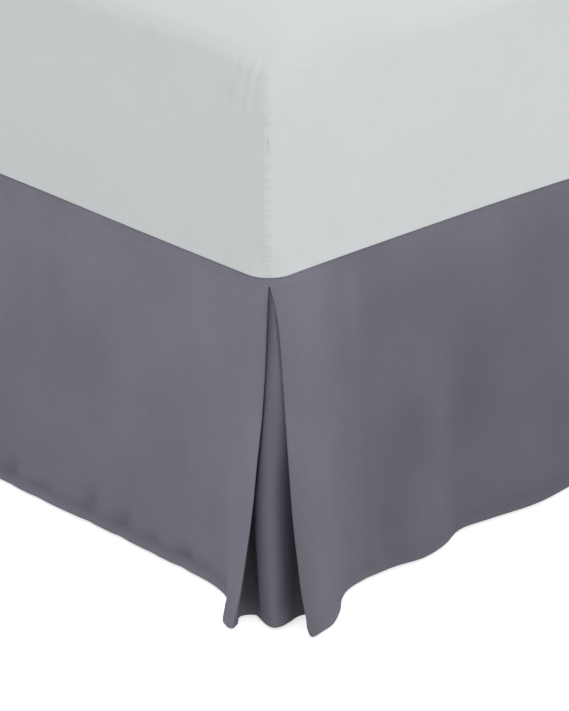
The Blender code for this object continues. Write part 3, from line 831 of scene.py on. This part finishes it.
def make_deck(material):
    """The cloth between the mattress and the box spring, turned down over its edge at the foot and sides."""
    beyond = Vector((DECK_HIGH.x, DECK_HIGH.y + 0.3, 0))
    places, ways, around, _ = plan_loop(DECK_LOW, beyond, CORNER_RADIUS, 0.004, 0.016)
    order = np.argsort(around)
    order = order[places[order, 1] < DECK_HIGH.y + 0.012]
    places, ways, around = places[order], ways[order], around[order]
    places[:, 1] = np.minimum(places[:, 1], DECK_HIGH.y)
    top, edge = DECK_TOP - CLOTH / 2, -CLOTH / 2 - RIM_LEAN
    start = edge - RIM_TILT - RIM_BEND * math.sin(RIM_TURN)
    profile = [(start, top, share) for share in (0.98, *INNER_SHARES, 0.0)]
    inner_rows = len(profile)
    for step in range(1, RIM_STEPS + 1):
        angle = step / RIM_STEPS * RIM_TURN
        profile.append((start + RIM_BEND * math.sin(angle), top - RIM_BEND * (1 - math.cos(angle)), 0))
    bent = profile[-1][1]
    profile += [(edge - RIM_TILT * (1 - share), bent + (RIM_BOTTOM - bent) * share, 0)
                for share in (0.2, 0.4, 0.6, 0.8, 1)]
    weights = [inner_weight(row[2]) for row in profile[:inner_rows]]
    weights += [(row[1] - RIM_BOTTOM) / (top - RIM_BOTTOM) for row in profile[inner_rows:]]
    table = lifted(lofted((places, ways), DECK_LOW, DECK_HIGH.y, profile), around, weights)
    unevenness = DECK_SWELL * soft_noise(table, 0.030, 4) * np.array(weights)[:, None]
    table = table + normals(table) * unevenness[..., None]
    deck = surface("deck_cloth", table, material)
    # Painted light and painted shade: the rim's colour is kept light along the foot and round its corners,
    # and painted darker along the sides more than 14 cm beyond them.
    nap_and_painted_shade = 0.6 - 1.1 * smooth(np.maximum(around, -around - BED_WIDTH) / 0.14)
    add_cloth_data(deck, table[..., :2], np.broadcast_to(nap_and_painted_shade, table.shape[:2]))
    give_thickness(deck, CLOTH)
    return deck


def sheet_section(run):
    """How far out and how high the fitted sheet's side lies at a run up from its foot."""
    up = run - TUCK_RUN
    if up < 0:
        turn = run / TUCK
        return -TUCK * (1 - math.sin(turn)), MATTRESS_LOW.z + TUCK * (1 - math.cos(turn))
    if up < SHEET_SIDE:
        return SHEET_BULGE * math.sin(math.pi * up / SHEET_SIDE), MATTRESS_LOW.z + TUCK + up
    turn = (up - SHEET_SIDE) / SHEET_TOP_EDGE
    return -SHEET_TOP_EDGE * (1 - math.cos(turn)), MATTRESS_HIGH.z - SHEET_TOP_EDGE * (1 - math.sin(turn))


def squared(aside, run):
    """How far the sheet's corner stands out from its round plan, where its seam pulls it to a tighter one."""
    spare = SHEET_CORNER - SEAM_CORNER
    angle = np.clip(math.pi / 4 - abs(aside) / SHEET_CORNER, 0, math.pi / 4)
    reach = spare * (np.cos(angle) + np.sin(angle))
    on_arc = reach + np.sqrt(reach ** 2 - 2 * spare ** 2 + SEAM_CORNER ** 2)
    on_flat = SHEET_CORNER / np.cos(angle)
    stand = np.where(SHEET_CORNER * np.tan(angle) <= spare, on_flat, on_arc) - SHEET_CORNER
    top_edge = (run - TUCK_RUN - SHEET_SIDE) / (SHEET_TOP_EDGE * 1.4)
    return stand * smooth(run / 0.06) * (1 - smooth(top_edge))


def worn_depth(around, run):
    """How far the corner by the camera is worn down, at a distance round and a run up the sheet."""
    return values_at(WORN, around) * hump(run, TUCK_RUN + SHEET_SIDE + SHEET_TOP_EDGE * 0.6, WORN_REACH)


def corner_relief(aside, run, corner):
    """How the sheet stands out where its sides are sewn together: a ridge, and gathers that fade from it."""
    ridge = SEAM_RIDGE * hump(aside, 0, 0.011)
    gather = soft_noise((run, abs(aside) * 0.35 + 0.03 * (aside > 0)), 0.0085, 7 + corner)
    upper = 0.30 + 0.70 * hump(run, 0.175, 0.035)
    stand = ridge + GATHER_HEIGHT * upper * gather * np.exp(-abs(aside) / 0.010)
    return stand * smooth(run / 0.02) * smooth((SEAM_TOP + 0.01 - run) / 0.03)


def make_mattress(material):
    """The mattress in its fitted sheet: taut sides, a soft top edge and a low crown."""
    places, ways, around, whole = plan_loop(MATTRESS_LOW, MATTRESS_HIGH, SHEET_CORNER, 0.0020, 0.011, 2)
    top_run = TUCK_RUN + SHEET_SIDE
    side_run = top_run + SHEET_TOP_EDGE * (math.pi / 2 - CROWN_SLOPE)
    runs = np.concatenate([np.linspace(0, TUCK_RUN, 5)[:-1], np.linspace(TUCK_RUN, top_run, 68)[:-1],
                           np.linspace(top_run, side_run, 10)])
    bottom = [(-TUCK, MATTRESS_LOW.z, share) for share in INNER_SHARES]
    sides = [(*sheet_section(run), 0) for run in runs.tolist()]
    inset, top, _ = sides[-1]
    crown = [(inset, top + CROWN * (1 - math.exp(-share / CROWN_REACH)), share) for share in CROWN_SHARES]
    table = lofted((places, ways), MATTRESS_LOW, MATTRESS_HIGH.y - BED_WIDTH / 2, bottom + sides + crown)
    levels = np.concatenate([np.zeros(len(bottom)), runs, side_run + 0.7 * np.array(CROWN_SHARES)])[:, None]
    weights = 1 - smooth(levels[:, 0] / 0.05)
    weights[:len(bottom)] = [inner_weight(row[2]) for row in bottom]
    table = lifted(table, around, weights)

    from_side = np.minimum(RIGHT_FACE - table[..., 0], table[..., 0] - LEFT_FACE)
    rise = RISE * smooth(from_side / 0.12) * (1 - smooth((table[..., 1] - FOOT_FACE) / 0.90))
    table[..., 2] += rise * smooth((levels - 0.10) / 0.14)
    on_sides = smooth(levels / 0.02) * smooth((side_run + 0.05 - levels) / 0.05)
    relief = relief_of(SHEET_CREASES, around[None, :], levels) * on_sides
    for corner in range(4):
        angle = (corner - 0.5) * math.pi / 2
        middle = around[int(np.argmax(places @ np.array([math.cos(angle), math.sin(angle)])))]
        aside = ((around - middle + whole / 2) % whole - whole / 2)[None, :]
        near = abs(aside) < 0.08
        relief = relief + corner_relief(aside, levels, corner) * near * on_sides
        table[..., :2] += ways * (squared(aside, levels) * near)[..., None]
    relief = relief - worn_depth(around, levels)
    swell = soft_noise(table, 0.160, 3) * SHEET_SWELL + soft_noise(table, 0.045, 5) * SHEET_RIPPLE
    relief = relief + swell * smooth((levels - 0.004) / 0.03) * smooth((side_run + 0.50 - levels) / 0.30)
    table = table[::-1] + normals(table[::-1]) * relief[::-1, :, None]
    mattress = surface("mattress_in_sheet", table, material, wrap=True)
    close_shell(mattress)
    return mattress


def make_corner_seams(material):
    """The fitted sheet's four corner seams, gathered a little by their stitches."""
    aside = np.linspace(-SEAM_REACH, SEAM_REACH, 21)[None, :]
    runs = np.arange(0.0035, SEAM_TOP, SEAM_BUMP / 6)[::-1, None]
    section = np.array([sheet_section(run) for run in runs[:, 0].tolist()])
    tilt = np.gradient(section, axis=0)
    tilt = abs(tilt / np.linalg.norm(tilt, axis=1, keepdims=True))
    sink = 0.0013 * smooth((abs(aside) - 0.0030) / (SEAM_REACH - 0.0030))
    ends = smooth((SEAM_TOP - runs) / 0.020)
    seams = []
    for corner, centre in enumerate(corner_centres(MATTRESS_LOW, MATTRESS_HIGH, SHEET_CORNER)):
        angles = (corner - 0.5) * math.pi / 2 + aside / SHEET_CORNER
        shaken = runs + 0.0016 * soft_noise(runs, 0.013, 11 + corner)[:, None]
        slanted = shaken - 0.45 * aside
        regular = np.cos(2 * math.pi * slanted / SEAM_BUMP) * (0.30 + 0.70 * smooth((0.075 - runs) / 0.03))
        ticks = soft_noise(slanted[..., None], 0.0040, 15 + corner) * smooth((runs - 0.05) / 0.03) * 2.2
        shape = SEAM_THREAD * hump(aside, 0.0006, 0.0031) * (0.45 + 0.75 * (regular + ticks))
        shape = shape * (1 - 0.65 * smooth((runs - 0.195) / 0.03))
        stand = corner_relief(aside, runs, corner) + squared(aside, runs)
        stand = stand + 0.0004 + shape * ends - sink - 0.0016 * (1 - ends)
        if corner == 0:
            stand = stand - worn_depth(aside[0], runs)
        out = SHEET_CORNER + section[:, :1] + stand * tilt[:, 1:]
        lift = value_at(LIFT, 3.0 * corner) * (1 - smooth(runs / 0.05))
        height = section[:, 1:] + stand * tilt[:, :1] + lift
        table = [centre[0] + out * np.cos(angles), centre[1] + out * np.sin(angles), height]
        seams.append(surface(f"corner seam {corner}", np.stack(table, axis=-1), material))
    with bpy.context.temp_override(active_object=seams[0], selected_editable_objects=seams):
        bpy.ops.object.join()
    seams[0].name = "sheet_corner_seams"
    give_thickness(seams[0], SEAM_CLOTH)
    return seams[0]


def make_box_spring(material):
    """The box spring in its woven cover, with a corded edge round its top and its foot."""
    places, ways, *_ = plan_loop(BOX_LOW, BOX_HIGH, CORNER_RADIUS - BOX_INSET, 0.006, 0.020)
    tall = BOX_HIGH.z - BOX_LOW.z
    ends = (0.75, 0.4, 0.1, 0.02, 0)
    profile = [(-CORD_RADIUS, 0, share) for share in ends]
    for middle, start, end in ((CORD_RADIUS, -90, 60), (tall - CORD_RADIUS, -60, 90)):
        if middle > tall / 2:
            profile += [(-0.0022 + 0.0008 * math.sin(math.pi * share), 0.020 + (tall - 0.040) * share, 0)
                        for share in (0.0, 0.12, 0.25, 0.4, 0.5, 0.6, 0.75, 0.88, 1.0)]
        for step in range(CORD_STEPS + 1):
            angle = math.radians(start + (end - start) * step / CORD_STEPS)
            out = CORD_RADIUS * (0.98 * math.cos(angle) - 1)
            profile.append((out, middle + CORD_RISE * math.sin(angle), 0))
    profile += [(-CORD_RADIUS, tall, share) for share in ends[::-1]]
    table = lofted((places, ways), BOX_LOW, BOX_HIGH.y - BED_WIDTH / 2,
                   [(out, BOX_LOW.z + up, inwards) for out, up, inwards in profile])[::-1]
    table = table + normals(table) * (soft_noise(table, 0.090, 6) * COVER_SWELL)[..., None]
    cover = surface("box_spring_in_cover", table, material, wrap=True)
    close_shell(cover)
    return cover


def make_leg(node, material):
    """A turned and tapered leg with a collar under the box spring and a rounded foot."""
    low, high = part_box(node)
    centre, tall = (low + high) / 2, high.z - low.z
    angles = np.arange(LEG_SIDES) / LEG_SIDES * 2 * math.pi
    table = np.array([[(centre.x + radius * math.cos(angle), centre.y + radius * math.sin(angle),
                        high.z - tall * down) for angle in angles.tolist()] for down, radius in LEG_SECTION])
    leg = surface("turned_" + node, table, material, wrap=True)
    close_shell(leg)
    leg.data.set_sharp_from_angle(angle=SHARP_ANGLE)
    return leg


# ---- materials ----


def linear(hex_colour):
    """An sRGB hex colour as linear red, green, blue and alpha."""
    values = [int(hex_colour[i:i + 2], 16) / 255 for i in (0, 2, 4)]
    return [v / 12.92 if v <= 0.04045 else ((v + 0.055) / 1.055) ** 2.4 for v in values] + [1.0]


class Finish:
    """A material in the making, with its tree, its shader and the places of its mesh in metres."""

    def __init__(self, name, hex_colour, roughness, sheen=0.0, sheen_tint="FFFFFF"):
        self.material = bpy.data.materials.new(name)
        self.material.use_nodes = True
        self.tree = self.material.node_tree
        self.shader = self.tree.nodes["Principled BSDF"].inputs
        for socket, value in (("Base Color", linear(hex_colour)), ("Roughness", roughness), ("IOR", 1.5),
                              ("Sheen Weight", sheen), ("Sheen Roughness", 0.5),
                              ("Sheen Tint", linear(sheen_tint))):
            self.shader[socket].default_value = value
        self.where = self.add("ShaderNodeTexCoord").outputs["Object"]

    def add(self, kind, inputs=(), **settings):
        return add_node(self.tree, kind, inputs, **settings)

    def noise(self, scale, detail=2.0, shift=0.0, where=None):
        """Noise between 0 and 1. scale is how many swells it has in a metre of each axis."""
        placed = self.add("ShaderNodeMapping",
                          {"Vector": where or self.where, "Scale": scale, "Location": (shift,) * 3})
        return self.add("ShaderNodeTexNoise", {"Vector": placed, "Scale": 1.0, "Detail": detail})

    def maths(self, operation, *values):
        """The result of a sum on numbers or outputs."""
        return self.add("ShaderNodeMath", dict(enumerate(values)), operation=operation)

    def blend(self, share, low, high, from_low=0.3, from_high=0.7):
        """A colour between two hex colours, by a share that mostly runs between two values."""
        spread = self.add("ShaderNodeMapRange", {"Value": share, "From Min": from_low, "From Max": from_high})
        return self.add("ShaderNodeMix", {0: spread, 6: linear(low), 7: linear(high)},
                        data_type="RGBA").outputs[2]

    def tint(self, colour, *blend):
        """A colour multiplied by a blend of two others."""
        return self.add("ShaderNodeMix", {0: 1.0, 6: colour, 7: self.blend(*blend)}, data_type="RGBA",
                        blend_type="MULTIPLY").outputs[2]

    def plain_weave(self, where, pitch):
        """The height of a plain weave between -1 and 1: threads that pass over and under each other."""
        axes = self.add("ShaderNodeVectorMath", {0: where, 1: (math.pi / pitch,) * 3}, operation="MULTIPLY")
        axes = self.add("ShaderNodeSeparateXYZ", {0: axes}).outputs
        return self.maths("MULTIPLY", self.maths("SINE", axes[0]), self.maths("SINE", axes[1]))

    def done(self, colour, height, strength, distance):
        """The material with that colour, and with a height as bumps of that depth in metres."""
        self.tree.links.new(colour, self.shader["Base Color"])
        bump = self.add("ShaderNodeBump", {"Height": height, "Strength": strength, "Distance": distance})
        self.tree.links.new(bump.outputs[0], self.shader["Normal"])
        return self.material


def brushed_microfibre():
    """Polyester microfibre in plain weave, brushed on its face: matt and peachy, with a short pile that
    lightens where it turns away. Its colour is darkened by the painted shade, and kept light by the painted
    light, that each mesh carries. Its threads are 0.1 mm, drawn 1.4 mm apart so that they show at all."""
    made = Finish("brushed microfibre", "777581", 0.86, 0.09, "AAA6C2")
    cloth = made.add("ShaderNodeUVMap", uv_map="cloth").outputs[0]
    threads = made.maths("ADD", made.noise((700, 45, 1), 2.0, 3.1, cloth),
                         made.noise((40, 700, 1), 2.0, 7.7, cloth))
    patches = made.blend(made.noise((9, 9, 7), 3.0), "73717C", "7B7985")
    # Painted shade and painted light: each mesh's attribute darkens the colour down to C4C4C4 times itself,
    # or leaves it whole.
    painted_shading = made.add("ShaderNodeAttribute", attribute_name="nap_and_painted_shade").outputs["Fac"]
    patches = made.tint(patches, painted_shading, "C4C4C4", "FFFFFF", -1.7, 0.3)
    colour = made.tint(patches, threads, "FAFAFA", "FFFFFF", 0.85, 1.15)
    nap_and_painted_shade = made.noise((420, 420, 420), 3.0, 1.9)
    height = made.maths("MULTIPLY_ADD", made.plain_weave(cloth, 0.0014), 0.2, nap_and_painted_shade)
    return made.done(colour, made.maths("MULTIPLY_ADD", threads, 0.7, height), 0.30, 0.0004)


def polyester_thread():
    """Spun polyester sewing thread, dyed to match: matt, with a painted highlight that makes it a shade
    lighter where it stands proud.
    """
    made = Finish("polyester thread", "767480", 0.70, 0.10)
    twist = made.noise((900, 900, 900), 1.0)
    # Painted highlight: the colour follows the twist's bump, lighter where it stands higher.
    return made.done(made.blend(twist, "6A6873", "737180"), twist, 0.3, 0.0002)


def cotton_percale():
    """Cotton percale, woven close and washed: matt and smooth, with faint slubs along its threads."""
    made = Finish("cotton percale", "CED2D3", 0.88, 0.08)
    slubs = made.maths("ADD", made.noise((800, 30, 30), 2.0, 5.1), made.noise((30, 800, 30), 2.0, 8.9))
    slubs = made.maths("ADD", made.noise((30, 30, 800), 2.0, 2.3), slubs)
    patches = made.blend(made.noise((5, 5, 6), 2.0), "CDD1D2", "CFD3D4")
    colour = made.tint(patches, slubs, "FDFDFD", "FFFFFF", 1.3, 1.7)
    crumple = made.noise((38, 38, 38), 4.0, 4.4)
    return made.done(colour, made.maths("MULTIPLY_ADD", crumple, 3.0, slubs), 0.16, 0.0004)


def woven_ticking():
    """Cotton ticking in a fine twill: off-white and matt, with close slanted ribs 2 mm apart."""
    made = Finish("woven ticking", "E4E2DC", 0.88, 0.05)
    slanted = made.add("ShaderNodeVectorMath", {0: made.where, 1: (0.577, 0.577, 0.577)},
                       operation="DOT_PRODUCT").outputs["Value"]
    ribs = made.maths("SINE", made.maths("MULTIPLY", slanted, 2 * math.pi / 0.0020))
    slubs = made.noise((300, 300, 60), 3.0)
    colour = made.tint(made.blend(slubs, "DEDCD5", "E8E6E1"), ribs, "F2F1EE", "FFFFFF", -1.0, 1.0)
    return made.done(colour, made.maths("MULTIPLY_ADD", ribs, 0.5, slubs), 0.4, 0.0004)


def stained_beech():
    """Beech, turned, stained dark and sealed: satin, with upright grain and short darker flecks."""
    made = Finish("stained beech", "2B2622", 0.42)
    grain, flecks = made.noise((160, 160, 6), 4.0, 0.8), made.noise((700, 700, 90), 1.0, 6.2)
    colour = made.tint(made.blend(grain, "241E1A", "3A302A"), flecks, "9A9A9A", "FFFFFF", 0.35, 0.5)
    worn = made.add("ShaderNodeMapRange", {"Value": grain, "To Min": 0.36, "To Max": 0.50})
    made.tree.links.new(worn.outputs[0], made.shader["Roughness"])
    return made.done(colour, made.maths("ADD", grain, flecks), 0.25, 0.0003)


def paper_floor():
    """A white paper sweep, matt and a little lit from within, as a studio floor is by its own lamps."""
    made = Finish("paper floor", "E9E9E9", 0.9)
    made.shader["Emission Color"].default_value = linear("FFFFFF")
    made.shader["Emission Strength"].default_value = FLOOR_GLOW
    return made.done(made.blend(made.noise((2, 2, 2), 2.0), "E7E7E7", "EBEBEB"),
                     made.noise((300, 300, 300), 2.0), 0.05, 0.0002)


# ---- the studio ----


def make_floor(material):
    """The floor, which is the only thing that its own glow lights."""
    reach = np.linspace(-FLOOR_REACH, FLOOR_REACH, 9)
    table = np.array([[(x, y, 0.0) for x in reach.tolist()] for y in reach[::-1].tolist()])
    floor = surface("floor", table, material)
    lit = bpy.data.collections.new("lit by the floor")
    lit.objects.link(floor)
    floor.light_linking.receiver_collection = lit


def aimed(made, target):
    """Turns a lamp or the camera, which look along their own -Z, to face a place."""
    made.rotation_euler = (Vector(target) - made.location).to_track_quat("-Z", "Y").to_euler()


def make_lamp(name, place, target, size, power):
    lamp = bpy.data.lights.new(name, "AREA")
    lamp.shape, lamp.size, lamp.energy = "SQUARE", size, power
    made = link(bpy.data.objects.new(name, lamp))
    made.location = place
    aimed(made, target)


def make_studio():
    world = bpy.data.worlds.new("studio")
    world.use_nodes = True
    tree = world.node_tree
    way = add_node(tree, "ShaderNodeSeparateXYZ", {0: add_node(tree, "ShaderNodeTexCoord")})
    strength = add_node(tree, "ShaderNodeMapRange", {"Value": way.outputs["Z"], "From Max": HORIZON_TOP,
                                                     "To Min": HORIZON_LIGHT, "To Max": SKY_LIGHT})
    sky = tree.nodes["Background"].inputs
    tree.links.new(strength.outputs[0], sky["Strength"])
    sky["Color"].default_value = (1, 1, 1, 1)
    bpy.context.scene.world = world
    bpy.context.scene.view_settings.view_transform = "Standard"
    for lamp in LAMPS:
        make_lamp(*lamp)


def make_camera():
    lens = bpy.data.cameras.new("camera")
    lens.lens, lens.clip_end = LENS, 100
    made = link(bpy.data.objects.new("camera", lens))
    x, y, z = CAMERA_FROM_CORNER
    made.location = (RIGHT_FACE + x, FOOT_FACE + y, z)
    azimuth, elevation = map(math.radians, CAMERA_ANGLES)
    away = Vector((math.sin(azimuth) * math.cos(elevation), -math.cos(azimuth) * math.cos(elevation),
                   math.sin(elevation)))
    aimed(made, made.location - away)
    bpy.context.scene.camera = made


# ---- the whole ----


def take_over(piece, slot, *nodes):
    """A finished piece rides on the one body, and stands for the CAD nodes that it replaces."""
    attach(piece, "root")
    if nodes:
        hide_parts(*nodes)


def main():
    make_camera()
    make_studio()
    make_floor(paper_floor())
    microfibre, thread, percale = brushed_microfibre(), polyester_thread(), cotton_percale()
    ticking, beech = woven_ticking(), stained_beech()
    stitching = stitch_tree()

    right, left = side_columns(1, RIGHT_SIDE_HEM, 1.0), side_columns(-1, LEFT_SIDE_HEM, LEFT_PLEAT_OPENNESS)
    for node, columns, creases, furrow, painted_shading, cut in (
            ("drop_foot", foot_columns(), FOOT_CREASES, FOOT_FURROW, 0, FOOT_CUT),
            ("drop_right", right, RIGHT_CREASES, SIDE_FURROW, 1, SIDE_CUT),
            ("drop_left", left, LEFT_CREASES, SIDE_FURROW, 1, SIDE_CUT)):
        drop, line = make_drop(node + "_cloth", columns, creases, furrow, painted_shading, microfibre)
        stitches = sew(node + "_stitches", line, thread, stitching)
        take_over(drop, "skirt_cloth", node)
        take_over(stitches, "skirt_cloth")

    deck = make_deck(microfibre)
    take_over(deck, "skirt_cloth", "deck")
    mattress = make_mattress(percale)
    take_over(mattress, "fitted_sheet", "mattress")
    take_over(make_corner_seams(percale), "fitted_sheet")
    take_over(make_box_spring(ticking), "box_spring_cover", "box_spring")
    for node in sorted(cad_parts):
        if node.startswith("leg_"):
            take_over(make_leg(node, beech), "leg_wood", node)


main()
